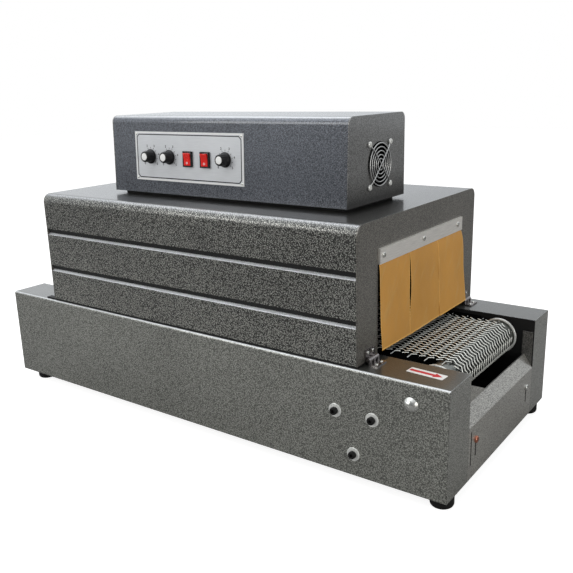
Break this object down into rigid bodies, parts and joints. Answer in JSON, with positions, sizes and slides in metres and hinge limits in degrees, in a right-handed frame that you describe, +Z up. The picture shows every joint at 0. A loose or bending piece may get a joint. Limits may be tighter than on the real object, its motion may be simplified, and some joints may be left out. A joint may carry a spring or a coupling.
{
  "type": "heat shrink tunnel",
  "caption": "Bench-top shrink-wrap tunnel: mesh conveyor in a folded-sheet base, hinged grooved hood with cloth curtains, control box with knobs, switches and fan guard.",
  "frame": {"origin": "on the floor, under the middle of the base", "axes": "+X along the belt towards the outfeed end, -Y towards the control panel's side, +Z up"},
  "size_m": [0.906, 0.4111, 0.505],
  "materials": {
    "grey_paint": "semi-gloss hammered paint",
    "hinge_steel": "darkened steel",
    "zinc_steel": "zinc plated",
    "belt_wire": "bright wire",
    "black_steel": "matt black",
    "black_rubber": "matt",
    "strip_aluminium": "satin",
    "panel_silver": "satin silver",
    "black_plastic": "satin",
    "chrome_wire": "bright",
    "red_plastic": "gloss",
    "tan_cloth": "coated cloth"
  },
  "bodies": {
    "base": {"base_front_channel": "grey_paint", "base_back_channel": "grey_paint", "base_bottom_plate": "grey_paint", "outfeed_end_cover": "grey_paint", "infeed_end_cover": "grey_paint", "front_hinge_base_leaf": "hinge_steel", "back_hinge_base_leaf": "hinge_steel", "outfeed_cover_screws": "zinc_steel", "infeed_cover_screws": "zinc_steel", "motor_bolts": "zinc_steel", "shaft_nuts": "zinc_steel", "outfeed_roller": "zinc_steel", "infeed_roller": "zinc_steel", "mesh_belt": "belt_wire", "belt_bed": "black_steel", "rubber_feet": "black_rubber", "hood_seals": "black_rubber"},
    "hood": {"hood_shell": "grey_paint", "outfeed_hood_end": "grey_paint", "infeed_hood_end": "grey_paint", "tunnel_liner": "black_steel", "outfeed_clamp_strip": "strip_aluminium", "infeed_clamp_strip": "strip_aluminium", "front_hinge_hood_leaf": "hinge_steel", "back_hinge_hood_leaf": "hinge_steel", "control_box_spacer": "black_rubber", "control_box_floor": "black_steel", "control_box_cover": "grey_paint", "control_box_fan_end": "grey_paint", "control_box_plain_end": "grey_paint", "control_panel_plate": "panel_silver", "switch_bezels": "black_plastic", "fan_frame": "black_plastic", "fan_guard": "chrome_wire"},
    "outfeed_curtain": {"outfeed_front_flap": "tan_cloth", "outfeed_middle_flap": "tan_cloth", "outfeed_back_flap": "tan_cloth"},
    "infeed_curtain": {"infeed_front_flap": "tan_cloth", "infeed_middle_flap": "tan_cloth", "infeed_back_flap": "tan_cloth"},
    "fan_rotor": {"fan_rotor": "black_plastic"},
    "first_knob": {"first_knob": "black_plastic"},
    "second_knob": {"second_knob": "black_plastic"},
    "third_knob": {"third_knob": "black_plastic"},
    "first_rocker": {"first_rocker": "red_plastic"},
    "second_rocker": {"second_rocker": "red_plastic"}
  },
  "joints": [
    {"name": "hood_hinge", "type": "hinge", "parent": "base", "child": "hood", "pos_m": [0.3206, 0, 0.184], "axis": [0, 1, 0], "range_deg": [0, 45]},
    {"name": "outfeed_curtain_swing", "type": "hinge", "parent": "hood", "child": "outfeed_curtain", "pos_m": [0.3163, 0, 0.3092], "axis": [0, 1, 0], "range_deg": [-60, 60]},
    {"name": "infeed_curtain_swing", "type": "hinge", "parent": "hood", "child": "infeed_curtain", "pos_m": [-0.3313, 0, 0.3092], "axis": [0, 1, 0], "range_deg": [-60, 60]},
    {"name": "fan_spin", "type": "hinge", "parent": "hood", "child": "fan_rotor", "pos_m": [0.254, -0.0315, 0.4325], "axis": [1, 0, 0], "continuous": true},
    {"name": "first_knob_turn", "type": "hinge", "parent": "hood", "child": "first_knob", "pos_m": [-0.129, -0.11973, 0.43952], "axis": [0, 0.9992, -0.0401], "range_deg": [0, 280]},
    {"name": "second_knob_turn", "type": "hinge", "parent": "hood", "child": "second_knob", "pos_m": [-0.086, -0.11973, 0.43952], "axis": [0, 0.9992, -0.0401], "range_deg": [0, 280]},
    {"name": "third_knob_turn", "type": "hinge", "parent": "hood", "child": "third_knob", "pos_m": [0.034, -0.11973, 0.43952], "axis": [0, 0.9992, -0.0401], "range_deg": [0, 280]},
    {"name": "first_rocker_tilt", "type": "hinge", "parent": "hood", "child": "first_rocker", "pos_m": [-0.044, -0.12281, 0.43764], "axis": [1, 0, 0], "range_deg": [-16, 0]},
    {"name": "second_rocker_tilt", "type": "hinge", "parent": "hood", "child": "second_rocker", "pos_m": [-0.007, -0.12281, 0.43764], "axis": [1, 0, 0], "range_deg": [-16, 0]}
  ]
}
